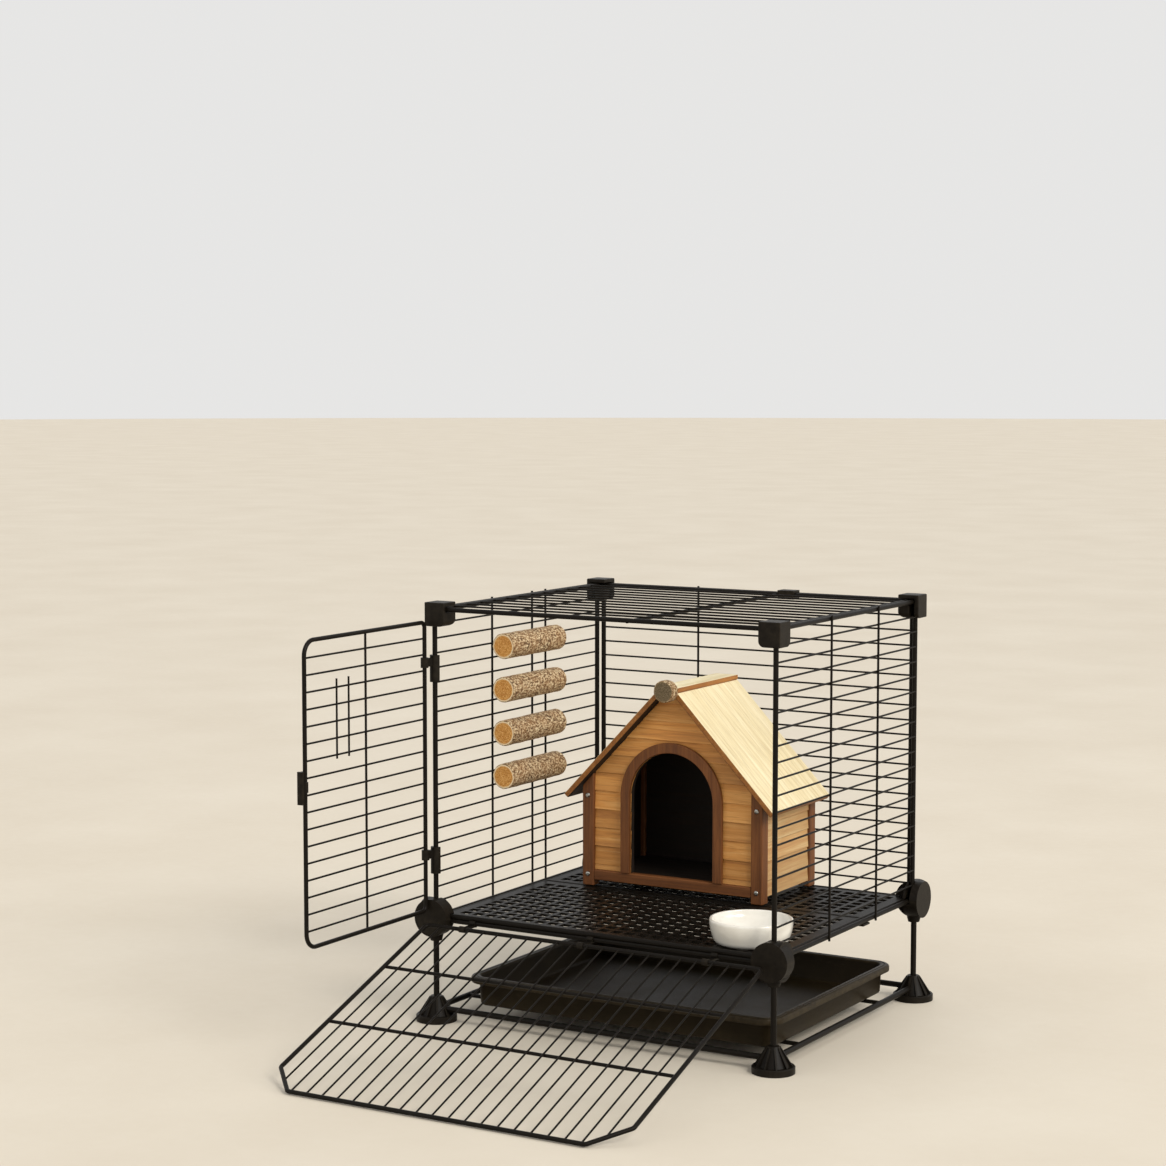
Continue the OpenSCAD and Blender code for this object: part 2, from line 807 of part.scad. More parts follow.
// ---- the whole hutch ----
at_origin() {
    left_panel();
    right_panel();
    back_panel();
    top_panel();
    floor_panel_front();
    floor_panel_rear();
    front_floor_rail();
    floor_seam_clips();
    top_mid_clip();
    for (d = DEPTHS) for (s = SIDES) {
        leg(s, d);
        foot(s, d);
        disc_connector(s, d);
        top_connector(s, d);
    }
    base_rail_front();
    base_rail_rear();
    base_rail_side("left");  // base_rail_left
    base_rail_side("right");  // base_rail_right
    tray_runners();
    tray();
    door_hinge(hinge_z[0]);  // door_hinge_upper
    door_hinge(hinge_z[1]);  // door_hinge_lower
    door_panel();
    door_latch();
    ramp_hinge_clips();
    ramp_panel();
    for (i = [1 : 4]) {
        chew_log(i);
    }
    log_studs();
    log_washers();
    log_wing_nuts();
    house_front_wall();
    house_rear_wall();
    house_side_wall(0);  // house_left_wall
    house_side_wall(1);  // house_right_wall
    house_floor();
    house_front_posts();
    house_rear_posts();
    house_front_sill();
    house_arch_trim();
    house_roof(0);  // house_roof_left
    house_roof(1);  // house_roof_right
    house_ridge_board();
    house_ridge_log();
    house_screws();
    bowl();
}
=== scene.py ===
import json
import math

import bmesh
import bpy
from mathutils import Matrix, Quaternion, Vector, noise

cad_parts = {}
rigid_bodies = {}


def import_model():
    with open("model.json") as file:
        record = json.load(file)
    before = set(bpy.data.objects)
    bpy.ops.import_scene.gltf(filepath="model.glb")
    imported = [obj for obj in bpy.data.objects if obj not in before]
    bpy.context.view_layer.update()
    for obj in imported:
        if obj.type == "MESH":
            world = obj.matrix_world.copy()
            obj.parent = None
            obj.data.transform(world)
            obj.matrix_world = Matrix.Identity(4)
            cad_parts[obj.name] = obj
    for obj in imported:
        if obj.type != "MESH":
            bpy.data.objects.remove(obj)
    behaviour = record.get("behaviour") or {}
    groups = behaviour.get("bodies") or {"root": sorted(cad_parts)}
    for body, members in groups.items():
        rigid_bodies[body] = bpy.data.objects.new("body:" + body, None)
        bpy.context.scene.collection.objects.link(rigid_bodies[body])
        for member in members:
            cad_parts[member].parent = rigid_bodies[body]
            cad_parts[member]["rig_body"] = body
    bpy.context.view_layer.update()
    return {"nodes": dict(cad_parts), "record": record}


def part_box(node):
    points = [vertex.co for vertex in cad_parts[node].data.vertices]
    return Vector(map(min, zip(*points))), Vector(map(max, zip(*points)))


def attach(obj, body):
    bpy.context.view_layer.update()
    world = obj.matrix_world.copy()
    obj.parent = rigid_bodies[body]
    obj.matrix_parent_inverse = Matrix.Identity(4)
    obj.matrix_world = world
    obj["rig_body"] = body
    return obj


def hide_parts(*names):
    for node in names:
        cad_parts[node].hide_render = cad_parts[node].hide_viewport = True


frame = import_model()
NODES = frame["nodes"]
UP = Vector((0, 0, 1))
# Points of the CAD meshes that are closer than this lie on the same face.
HAIR = 1e-4


# ---- materials ----
def rgb(code):
    """Linear colour of a #rrggbb code."""
    parts = [int(code[i:i + 2], 16) / 255 for i in (1, 3, 5)]
    return (*[c / 12.92 if c <= 0.04045 else ((c + 0.055) / 1.055) ** 2.4 for c in parts], 1.0)


class Finish:
    """One procedural material, with a short call for each kind of node it needs."""

    def __init__(self, name, **sockets):
        self.mat = bpy.data.materials.new(name)
        self.mat.use_nodes = True
        self.tree = self.mat.node_tree
        self.shader = self.tree.nodes["Principled BSDF"]
        for socket, value in sockets.items():
            self.shader.inputs[socket.replace("_", " ")].default_value = value

    def node(self, kind, inputs=(), **settings):
        made = self.tree.nodes.new(kind)
        for key, value in settings.items():
            setattr(made, key, value)
        for key, value in dict(inputs).items():
            if isinstance(value, bpy.types.NodeSocket):
                self.tree.links.new(value, made.inputs[key])
            else:
                made.inputs[key].default_value = value
        return made

    def coords(self, scale=(1, 1, 1)):
        place = self.node("ShaderNodeTexCoord").outputs["Object"]
        mapped = self.node("ShaderNodeMapping", {"Vector": place, "Scale": scale})
        return mapped.outputs["Vector"]

    def noise(self, vector, scale, detail=3.0, rough=0.55, distortion=0.0):
        return self.node("ShaderNodeTexNoise", {
            "Vector": vector, "Scale": scale, "Detail": detail, "Roughness": rough,
            "Distortion": distortion,
        }).outputs["Fac"]

    def cells(self, vector, scale):
        made = self.node("ShaderNodeTexVoronoi", {"Vector": vector, "Scale": scale})
        return made.outputs["Distance"]

    def ramp(self, fac, *stops):
        made = self.node("ShaderNodeValToRGB", {"Fac": fac})
        elements = made.color_ramp.elements
        while len(elements) < len(stops):
            elements.new(0.5)
        for element, (where, code) in zip(elements, stops):
            element.position = where
            element.color = rgb(code)
        return made.outputs["Color"]

    def math(self, operation, first, second=0.0):
        return self.node("ShaderNodeMath", {0: first, 1: second}, operation=operation).outputs[0]

    def mix(self, fac, first, second, blend="MIX"):
        made = self.node(
            "ShaderNodeMix", {0: fac, 6: first, 7: second}, data_type="RGBA", blend_type=blend,
        )
        return made.outputs[2]

    def worn_edges(self, low=0.505, high=0.56):
        """1 along outer edges, 0 on flats and in corners."""
        point = self.node("ShaderNodeNewGeometry").outputs["Pointiness"]
        return self.span(point, 0.0, 1.0, low, high)

    def span(self, value, to_low, to_high, low=0.3, high=0.7):
        return self.node("ShaderNodeMapRange", {
            "Value": value, "From Min": low, "From Max": high, "To Min": to_low, "To Max": to_high,
        }).outputs["Result"]

    def colour(self, socket):
        self.tree.links.new(socket, self.shader.inputs["Base Color"])

    def roughness(self, value, low, high):
        self.tree.links.new(self.span(value, low, high), self.shader.inputs["Roughness"])

    def bump(self, *layers):
        """Each layer is (height, strength, distance in metres)."""
        made = None
        for height, strength, distance in layers:
            inputs = {"Height": height, "Strength": strength, "Distance": distance}
            if made:
                inputs["Normal"] = made.outputs["Normal"]
            made = self.node("ShaderNodeBump", inputs)
        self.tree.links.new(made.outputs["Normal"], self.shader.inputs["Normal"])


def coated_steel():
    f = Finish("black_coated_steel", Specular_IOR_Level=0.1)
    at = f.coords()
    fine = f.noise(at, 1100, 2)
    broad = f.noise(at, 16, 3)
    f.colour(f.mix(
        f.span(fine, 0.0, 0.6), f.ramp(broad, (0.3, "#0b0906"), (0.7, "#120f0b")), rgb("#1a1510"),
    ))
    mottle = f.math("ADD", f.math("MULTIPLY", fine, 0.6), f.math("MULTIPLY", broad, 0.4))
    f.roughness(mottle, 0.3, 0.5)
    f.bump((fine, 0.25, 0.0002), (f.noise(at, 210, 2), 0.2, 0.0004))
    return f.mat


def moulded_plastic(name, dark, light, worn, grain=1500, scuffs=0.06):
    """Injection-moulded plastic with a fine spark-eroded grain, paler along its edges."""
    f = Finish(name, Specular_IOR_Level=0.09)
    at = f.coords()
    fine = f.noise(at, grain, 3, 0.6)
    broad = f.noise(at, 22, 4)
    base = f.ramp(broad, (0.3, dark), (0.72, light))
    edge = f.math("MULTIPLY", f.worn_edges(), f.span(f.noise(at, 160, 4), 0.15, 1.0))
    scuff = f.span(f.noise(f.coords((30, 420, 60)), 1.0, 4, 0.6), 0.0, scuffs, 0.62, 0.72)
    f.colour(f.mix(f.math("MAXIMUM", f.math("MULTIPLY", edge, 0.3), scuff), base, rgb(worn)))
    mottle = f.math("ADD", f.math("MULTIPLY", fine, 0.5), f.math("MULTIPLY", broad, 0.5))
    f.roughness(mottle, 0.32, 0.5)
    f.bump((fine, 0.3, 0.00025), (f.noise(at, 45, 2), 0.12, 0.0006))
    return f.mat


def zinc():
    f = Finish("zinc_plate", Metallic=1.0)
    at = f.coords()
    brushed = f.noise(f.coords((900, 120, 120)), 1.0, 3)
    bloom = f.cells(at, 480)
    f.colour(f.mix(
        f.span(bloom, 0.0, 0.5), f.ramp(brushed, (0.3, "#a3a29c"), (0.7, "#cfcdc6")),
        rgb("#8d8a80"),
    ))
    f.roughness(brushed, 0.24, 0.46)
    f.bump((brushed, 0.2, 0.0001))
    return f.mat


def wood(name, tones, vein, along, scale=1.0, courses=None, rough=(0.48, 0.7), shade=0.16,
         vein_share=0.5):
    """Planed wood. along is the grain's axis, or None where it runs down a slope in XZ; tones go
    dark to light; courses is (a seam's height, plank height) where planks lie one above another."""
    stretch = {0: (0.045, 1, 1), 1: (1, 0.045, 1), 2: (1, 1, 0.045), None: (0.0, 1, 0.05)}[along]
    f = Finish(name, Specular_IOR_Level=0.35)
    at = f.coords(tuple(s * scale for s in stretch))
    tone = None
    if courses:
        height = f.node("ShaderNodeSeparateXYZ", {0: f.coords()}).outputs["Z"]
        above_seam = f.math("SUBTRACT", height, courses[0])
        course = f.math("FLOOR", f.math("DIVIDE", above_seam, courses[1]))
        pick = f.node("ShaderNodeTexWhiteNoise", {"W": course}, noise_dimensions="1D")
        tone = pick.outputs["Value"]
        shift = f.node("ShaderNodeCombineXYZ", {a: tone for a in "XYZ"}).outputs["Vector"]
        at = f.node("ShaderNodeVectorMath", {0: at, 1: shift}, operation="ADD").outputs["Vector"]
    figure = f.noise(at, 130, 5, 0.6, 1.1)
    fine = f.noise(at, 620, 4, 0.7, 0.4)
    base = f.ramp(figure, (0.28, tones[0]), (0.47, tones[1]), (0.68, tones[2]))
    lines = f.span(fine, 0.0, vein_share, 0.52, 0.68)
    colour = f.mix(lines, base, rgb(vein))
    patch = f.noise(f.coords(), 18, 3)
    colour = f.mix(f.span(patch, 0.0, 0.22), colour, rgb(tones[0]))
    if courses:
        grey = f.ramp(tone, (0.0, "#d8d4cf"), (1.0, "#ffffff"))
        colour = f.mix(1.0, colour, grey, "MULTIPLY")
    edge = f.math("MULTIPLY", f.worn_edges(0.51, 0.6), shade * 2)
    f.colour(f.mix(edge, colour, rgb(tones[2])))
    f.roughness(figure, *rough)
    f.bump((fine, 0.35, 0.0003), (figure, 0.25, 0.0006))
    return f.mat


def bark():
    f = Finish("log_bark", Specular_IOR_Level=0.3)
    at = f.coords()
    speck = f.noise(f.coords((1, 0.6, 1)), 430, 6, 0.72)
    flakes = f.cells(f.coords((1, 0.4, 1)), 240)
    broad = f.noise(at, 55, 3)
    base = f.ramp(speck, (0.38, "#221a12"), (0.46, "#6b4f34"), (0.53, "#b39a76"), (0.62, "#e2d2ae"))
    shaded = f.mix(f.span(broad, 0.0, 0.4), base, rgb("#94683c"))
    f.colour(f.mix(f.span(flakes, 0.55, 0.0, 0.0, 0.25), shaded, rgb("#4d4034")))
    f.roughness(speck, 0.72, 0.92)
    f.bump((speck, 0.6, 0.0008), (flakes, 0.4, 0.0007))
    return f.mat


def sawn_end(name, tones, ring, rim):
    """End grain: rings about the heart, drawn from the attribute that the end faces carry."""
    f = Finish(name, Specular_IOR_Level=0.3)
    at = f.coords()
    heart = f.node("ShaderNodeAttribute", attribute_name="heart").outputs["Fac"]
    wobble = f.math("MULTIPLY", f.noise(at, 130, 3), 0.34)
    rings = f.math("SINE", f.math("MULTIPLY", f.math("ADD", heart, wobble), 44.0))
    speck = f.noise(at, 700, 5, 0.7)
    base = f.ramp(speck, (0.3, tones[0]), (0.5, tones[1]), (0.7, tones[2]))
    ringed = f.mix(f.span(rings, 0.0, 0.32, -1, 1), base, rgb(ring))
    f.colour(f.mix(f.span(heart, 0.0, 0.85, 0.86, 0.95), ringed, rgb(rim)))
    f.roughness(speck, 0.66, 0.86)
    f.bump((speck, 0.5, 0.0004), (rings, 0.25, 0.0003))
    return f.mat


def glaze():
    f = Finish("white_glaze", Specular_IOR_Level=0.5, Coat_Weight=0.6, Coat_Roughness=0.06)
    at = f.coords()
    broad = f.noise(at, 30, 3)
    pits = f.noise(at, 900, 2)
    base = f.ramp(broad, (0.3, "#e0dbcf"), (0.7, "#ebe7dd"))
    f.colour(f.mix(f.span(pits, 0.0, 0.35, 0.66, 0.75), base, rgb("#cfc6b4")))
    f.roughness(broad, 0.1, 0.2)
    f.bump((broad, 0.15, 0.0006), (pits, 0.1, 0.0001))
    return f.mat


def studio_floor():
    f = Finish("studio_floor", Specular_IOR_Level=0.3)
    at = f.coords()
    f.colour(f.ramp(f.noise(at, 3, 4), (0.3, "#cfc5b4"), (0.7, "#d5ccbc")))
    f.roughness(f.noise(at, 60, 3), 0.6, 0.75)
    f.bump((f.noise(at, 240, 3), 0.08, 0.0003))
    return f.mat


# Height above the ground of one seam between the house's planks, and a plank's height.
PLANK_SEAM = 0.180
PLANK_H = 0.0234
STEEL = coated_steel()
PLASTIC = moulded_plastic("black_moulded_plastic", "#0e0b08", "#17130e", "#3f382d")
TRAY = moulded_plastic(
    "tray_plastic", "#1a140b", "#272014", "#5a4f3c", grain=1100, scuffs=0.1,
)
ZINC = zinc()
BARK = bark()
SAWN = sawn_end("sawn_log_end", ("#8a4f1a", "#c98f45", "#e8c07c"), "#8c5420", "#e6d6b2")
WEATHERED = sawn_end(
    "weathered_log_end", ("#2c2216", "#67583f", "#a8967a"), "#43351f", "#7a6748",
)
GLAZE = glaze()
COURSES = (PLANK_SEAM, PLANK_H)
BROWN = ("#4a2810", "#6b3e1a", "#825028")
HONEY = wood("honey_planks", ("#aa682b", "#d79245", "#ebb36c"), "#844c1b", 0, courses=COURSES)
SIDING = wood(
    "pale_planks", ("#b5763a", "#cfa064", "#e2c592"), "#9c6a34", 1, courses=COURSES,
    vein_share=0.4,
)
ROOFING = wood(
    "pale_roof_board", ("#d0bb8c", "#e2d2a8", "#efe3c2"), "#a08a62", None, vein_share=0.6,
    shade=0.05,
)
RIDGE = wood(
    "pale_ridge_board", ("#d3bf8f", "#e6d7ac", "#f4e9c8"), "#a8926a", 1, vein_share=0.45,
    shade=0.05,
)
EDGING = wood(
    "brown_board_edge", ("#744519", "#935c28", "#aa743a"), "#553213", 1, scale=1.4, shade=0.06,
)
TRIM = wood("dark_brown_trim", BROWN, "#371e0c", 2)
SILL = wood("dark_brown_sill", BROWN, "#371e0c", 0)
# Near-black wood for the house's inner faces, its doorway's sides, its roof's undersides and its
# floor: painted shade for the dark inside of the house.
INSIDE_PAINTED_SHADE = wood(
    "painted_shade_inside", ("#140e08", "#1f160e", "#2a1e13"), "#0f0a06", 0, rough=(0.6, 0.8), shade=0.04,
)


# ---- building pieces ----
def dress(name, mat):
    """Gives a CAD node that stays its material."""
    for held in NODES[name].material_slots:
        held.material = mat


def piece(name, bm, mats, slot, *nodes, sharp=40):
    """Makes an object of a bmesh, smooth except where faces meet at over `sharp` degrees.

    It rides on its nodes' body and stands for them."""
    limit = math.radians(sharp)
    for face in bm.faces:
        face.smooth = True
    for edge in bm.edges:
        edge.smooth = len(edge.link_faces) == 2 and edge.calc_face_angle(0) < limit
    mesh = bpy.data.meshes.new(name)
    bm.to_mesh(mesh)
    bm.free()
    for mat in mats:
        mesh.materials.append(mat)
    obj = bpy.data.objects.new(name, mesh)
    bpy.context.scene.collection.objects.link(obj)
    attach(obj, NODES[nodes[0]]["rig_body"])
    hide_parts(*nodes)
    return obj


def soften(node, width, mats, slot, pick=None, steps=3):
    """Stands in for a CAD node with the same shape, its edges rounded.

    pick gives the place in mats of a face, from its normal."""
    same_point, flat, rounded_from = 2e-5, math.radians(1), math.radians(35)
    bm = bmesh.new()
    bm.from_mesh(NODES[node].data)
    bmesh.ops.remove_doubles(bm, verts=bm.verts, dist=same_point)
    bmesh.ops.dissolve_limit(bm, angle_limit=flat, verts=bm.verts, edges=bm.edges)
    if pick:
        for face in bm.faces:
            face.material_index = pick(face.normal)
    edges = [
        e for e in bm.edges if len(e.link_faces) == 2 and e.calc_face_angle(0) > rounded_from
    ]
    bmesh.ops.bevel(
        bm, geom=edges, offset=width, segments=steps, profile=0.5, affect="EDGES",
        clamp_overlap=True, material=-1,
    )
    obj = piece(node + "_shaped", bm, mats, slot, node, sharp=50)
    weigh = obj.modifiers.new("even_shading", "WEIGHTED_NORMAL")
    weigh.keep_sharp = True
    return obj


def prism(outline, axis, low, high):
    """Closed mesh of a flat outline pushed along an axis, from low to high.

    The outline's points hold the other two coordinates."""
    bm = bmesh.new()
    ends = []
    for where in (low, high):
        points = [[*p[:axis], where, *p[axis:]] for p in outline]
        ends.append([bm.verts.new(p) for p in points])
    near, far = ends
    bm.faces.new(near)
    bm.faces.new(far)
    for i in range(len(outline)):
        j = (i + 1) % len(outline)
        bm.faces.new((near[i], near[j], far[j], far[i]))
    bmesh.ops.recalc_face_normals(bm, faces=bm.faces)
    return bm


def carve(base, tool, operation):
    """Boolean of two closed meshes."""
    pair = []
    for bm in (base, tool):
        mesh = bpy.data.meshes.new("carving")
        bm.to_mesh(mesh)
        bm.free()
        obj = bpy.data.objects.new("carving", mesh)
        bpy.context.scene.collection.objects.link(obj)
        pair.append(obj)
    cutter = pair[0].modifiers.new("cut", "BOOLEAN")
    cutter.operation = operation
    cutter.object = pair[1]
    cutter.solver = "EXACT"
    bpy.context.view_layer.update()
    out = bmesh.new()
    out.from_object(pair[0], bpy.context.evaluated_depsgraph_get())
    for obj in pair:
        bpy.data.objects.remove(obj)
    return out


def lathe(bm, profile, centre, axis, steps):
    """Adds a turned shape. The profile's points are (radius, height along the axis), and the first
    and last of them lie on the axis."""
    turn = UP.rotation_difference(axis).to_matrix()
    rings = []
    for radius, height in profile:
        if not radius:
            rings.append([bm.verts.new(centre + axis * height)])
            continue
        ring = []
        for a in (math.tau * i / steps for i in range(steps)):
            spot = Vector((radius * math.cos(a), radius * math.sin(a), height))
            ring.append(bm.verts.new(centre + turn @ spot))
        rings.append(ring)
    for low, high in zip(rings, rings[1:]):
        for i in range(steps):
            j = (i + 1) % steps
            corners = [
                low[i % len(low)], low[j % len(low)], high[j % len(high)], high[i % len(high)],
            ]
            bm.faces.new(list(dict.fromkeys(corners)))


# ---- wires, rods and rails ----
WIRES = [
    "left_panel", "right_panel", "back_panel", "top_panel", "floor_panel_front", "floor_panel_rear",
    "front_floor_rail", "base_rail_front", "base_rail_rear", "base_rail_left", "base_rail_right",
    "tray_runners", "door_panel",
]
CORNERS = [d + "_" + s for d in ("front", "rear") for s in ("left", "right")]
for wires in WIRES + ["leg_" + c for c in CORNERS]:
    dress(wires, STEEL)
for fitting in ("log_studs", "log_washers"):
    dress(fitting, ZINC)


def tube(bm, path, up, radius, closed=False, around=16):
    """Adds a rod along a path that lies in the plane square to up."""
    rings = []
    for i, at in enumerate(path):
        ahead = path[(i + 1) % len(path)] if closed or i + 1 < len(path) else at
        behind = path[i - 1] if closed or i else at
        side = (ahead - behind).normalized().cross(up)
        angles = [math.tau * k / around for k in range(around)]
        rings.append([
            bm.verts.new(at + radius * (math.cos(a) * side + math.sin(a) * up)) for a in angles
        ])
    spans = list(zip(rings, rings[1:]))
    if closed:
        spans.append((rings[-1], rings[0]))
    else:
        bm.faces.new(rings[0])
        bm.faces.new(rings[-1])
    for near, far in spans:
        for k in range(around):
            m = (k + 1) % around
            bm.faces.new((near[k], near[m], far[m], far[k]))


def bent(corners, radius, steps=7):
    """A closed line through the corners with each corner rounded."""
    path = []
    for i, corner in enumerate(corners):
        back = (corners[i - 1] - corner).normalized()
        ahead = (corners[(i + 1) % len(corners)] - corner).normalized()
        half = back.angle(ahead) / 2
        cut = radius / math.tan(half)
        heart = corner + (back + ahead).normalized() * radius / math.sin(half)
        start = corner + back * cut - heart
        end = corner + ahead * cut - heart
        turn = start.rotation_difference(end)
        for k in range(steps + 1):
            path.append(heart + Quaternion(turn.axis, turn.angle * k / steps) @ start)
    return path


def ramp():
    """The bent frame rod, the welded wires and the two crossbars, in the ramp's own plane.

    bead is the radius, and bead_half half the length, of the lumps at the CAD ramp's corners."""
    joint = next(j for j in frame["record"]["behaviour"]["joints"] if j["name"] == "ramp_fold")
    hinge = Vector(joint["pos_m"])
    low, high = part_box("ramp_panel")
    bead, bead_half, rod, wire, bar = 0.0029, 0.0028, 0.0025, 0.0011, 0.002
    wire_lift, bar_lift, bend = 0.0006, -0.0015, 0.006
    first_guess, rounds = 0.35, 20
    slope = first_guess
    for _ in range(rounds):
        drop = hinge.z - low.z - bead * math.sin(slope) - bead_half * math.cos(slope)
        run = hinge.y - low.y - bead * math.cos(slope) - bead_half * math.sin(slope)
        slope = math.atan2(drop, run)
    length, wide = math.hypot(drop, run), high.x - low.x - 2 * bead
    gaps, bar_places, cut_x, cut_y = 22, (0.27, 0.61), 0.036, 0.038
    up = Vector((0, -math.sin(slope), math.cos(slope)))
    down = Vector((0, -math.cos(slope), -math.sin(slope)))
    start = Vector((low.x + bead, hinge.y, hinge.z))

    def at(x, along, lift=0.0):
        return start + Vector((x, 0, 0)) + down * along + up * lift

    bm = bmesh.new()
    corners = [at(0, 0), at(0, length - cut_y), at(cut_x, length), at(wide - cut_x, length),
               at(wide, length - cut_y), at(wide, 0)]
    tube(bm, bent(corners, bend), up, rod, closed=True)
    for i in range(1, gaps):
        edge = min(i, gaps - i) * wide / gaps
        end = length - max(0.0, cut_x - edge) * cut_y / cut_x
        x = i * wide / gaps
        tube(bm, [at(x, 0, wire_lift), at(x, end, wire_lift)], up, wire, around=12)
    for share in bar_places:
        ends = [at(0, share * length, bar_lift), at(wide, share * length, bar_lift)]
        tube(bm, ends, up, bar)
    bmesh.ops.recalc_face_normals(bm, faces=bm.faces)
    piece("ramp_bent_rods", bm, [STEEL], "black_wire", "ramp_panel", sharp=60)


ramp()

# ---- moulded fittings ----
for corner in CORNERS:
    soften("disc_connector_" + corner, 0.0009, [PLASTIC], "connector_plastic")
    soften("top_connector_" + corner, 0.0013, [PLASTIC], "connector_plastic")
    soften("foot_" + corner, 0.0006, [PLASTIC], "connector_plastic", steps=2)
for clip in ("door_hinge_upper", "door_hinge_lower", "door_latch", "ramp_hinge_clips",
             "floor_seam_clips", "top_mid_clip"):
    soften(clip, 0.0006, [PLASTIC], "connector_plastic", steps=2)


# ---- tray ----
def tray():
    """Vacuum-formed tray: a rolled rim turned down outside, with a fine channel along its top,
    walls that lean in and a rounded join with the floor. The profile's points are (inset from the
    box's sides, z), from the underside out over the rim and in."""
    low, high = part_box("tray")
    centre = (low + high) / 2
    half = (high - low) / 2
    thick, corner, least_radius, steps = 0.0025, 0.024, 0.004, 14
    top, base, floor = high.z, low.z, low.z + thick
    profile = [
        (0.0160, base), (0.0128, base + 0.0010), (0.0112, base + 0.0034), (0.0096, top - 0.0040),
        (0.0088, top - 0.0030), (0.0026, top - 0.0030), (0.0022, top - 0.0072),
        (0.0014, top - 0.0080), (0.0004, top - 0.0076), (0.0, top - 0.0066), (0.0, top - 0.0024),
        (0.0006, top - 0.0010), (0.0018, top - 0.0002), (0.0030, top), (0.0050, top),
        (0.0054, top - 0.0007), (0.0062, top - 0.0007), (0.0066, top), (0.0092, top),
        (0.0106, top - 0.0004), (0.0114, top - 0.0014), (0.0118, top - 0.0032),
        (0.0136, floor + 0.0034), (0.0150, floor + 0.0010), (0.0180, floor),
    ]
    bm = bmesh.new()
    rings = []
    for inset, z in profile:
        radius = max(corner - inset, least_radius)
        reach = Vector((half.x - inset - radius, half.y - inset - radius))
        ring = []
        for quarter, (sx, sy) in enumerate(((1, 1), (-1, 1), (-1, -1), (1, -1))):
            for i in range(steps + 1):
                a = math.radians(90 * (quarter + i / steps))
                x = centre.x + sx * reach.x + radius * math.cos(a)
                y = centre.y + sy * reach.y + radius * math.sin(a)
                ring.append(bm.verts.new((x, y, z)))
        rings.append(ring)
    for inner, outer in zip(rings, rings[1:]):
        for i in range(len(inner)):
            j = (i + 1) % len(inner)
            bm.faces.new((inner[i], inner[j], outer[j], outer[i]))
    bm.faces.new(rings[0])
    bm.faces.new(rings[-1])
    bmesh.ops.recalc_face_normals(bm, faces=bm.faces)
    piece("tray_formed", bm, [TRAY], "tray_plastic", "tray", sharp=50)


tray()


# ---- logs ----
def log(name, node, low, high, seed, end=SAWN):
    """A length of branch along Y: furrowed bark and two sawn ends with a bruised edge.

    Each station along it is (distance from its end, change of radius)."""
    around, length_steps, cap_rings = 80, 64, 9
    furrow, flake, sway, bulge, ripple = 0.0009, 0.00042, 0.00025, 0.00012, 0.0001
    shoulder = 0.0012
    radius = (high.x - low.x) / 2
    axis = (low + high) / 2
    bm = bmesh.new()
    heart = bm.verts.layers.float.new("heart")

    def bark_radius(angle, y):
        spot = Vector((math.cos(angle) * radius, y * 0.4, math.sin(angle) * radius)) * 190
        flakes = noise.fractal(spot + Vector((seed, 0, 0)), 0.8, 2.1, 4)
        bend = 0.35 * math.sin(2 * angle + seed) + 0.25 * math.sin(3 * angle + y * 40 + seed)
        return radius - furrow + flake * flakes + sway * bend

    stations = [(0.0, -0.0012), (0.0004, -0.0005), (shoulder, 0.0)]
    span = high.y - low.y
    inner = [
        shoulder + (span - 2 * shoulder) * i / length_steps for i in range(1, length_steps)
    ]
    stations += [(s, 0.0) for s in inner]
    stations += [(span - s, shrink) for s, shrink in reversed(stations[:3])]
    rings = []
    for along, shrink in stations:
        ring = []
        for i in range(around):
            a = math.tau * i / around
            r = min(bark_radius(a, along), radius) + shrink
            ring.append(bm.verts.new((
                axis.x + r * math.cos(a), low.y + along, axis.z + r * math.sin(a),
            )))
            ring[-1][heart] = 1.0
        rings.append(ring)
    for near, far in zip(rings, rings[1:]):
        for i in range(around):
            j = (i + 1) % around
            bm.faces.new((near[i], near[j], far[j], far[i]))
    for ring, side in ((rings[0], 1), (rings[-1], -1)):
        outer = ring
        for k in range(1, cap_rings + 1):
            share = 1 - k / (cap_rings + 0.6)
            made = []
            for i, v in enumerate(ring):
                wave = ripple * noise.noise(Vector((v.co.x, v.co.z, seed)) * 300 * share)
                y = v.co.y + side * (bulge + wave)
                made.append(bm.verts.new((
                    axis.x + (v.co.x - axis.x) * share, y, axis.z + (v.co.z - axis.z) * share,
                )))
                made[-1][heart] = share
            for i in range(around):
                j = (i + 1) % around
                bm.faces.new((outer[i], outer[j], made[j], made[i])).material_index = 1
            outer = made
        bm.faces.new(outer).material_index = 1
    bmesh.ops.recalc_face_normals(bm, faces=bm.faces)
    piece(name, bm, [BARK, end], "log_bark", node, sharp=60)


for number in range(1, 5):
    chew = f"chew_log_{number}"
    log(chew + "_bark", chew, *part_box(chew), seed=3.7 * number)
log("house_ridge_log_bark", "house_ridge_log", *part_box("house_ridge_log"), seed=21.0, end=WEATHERED)


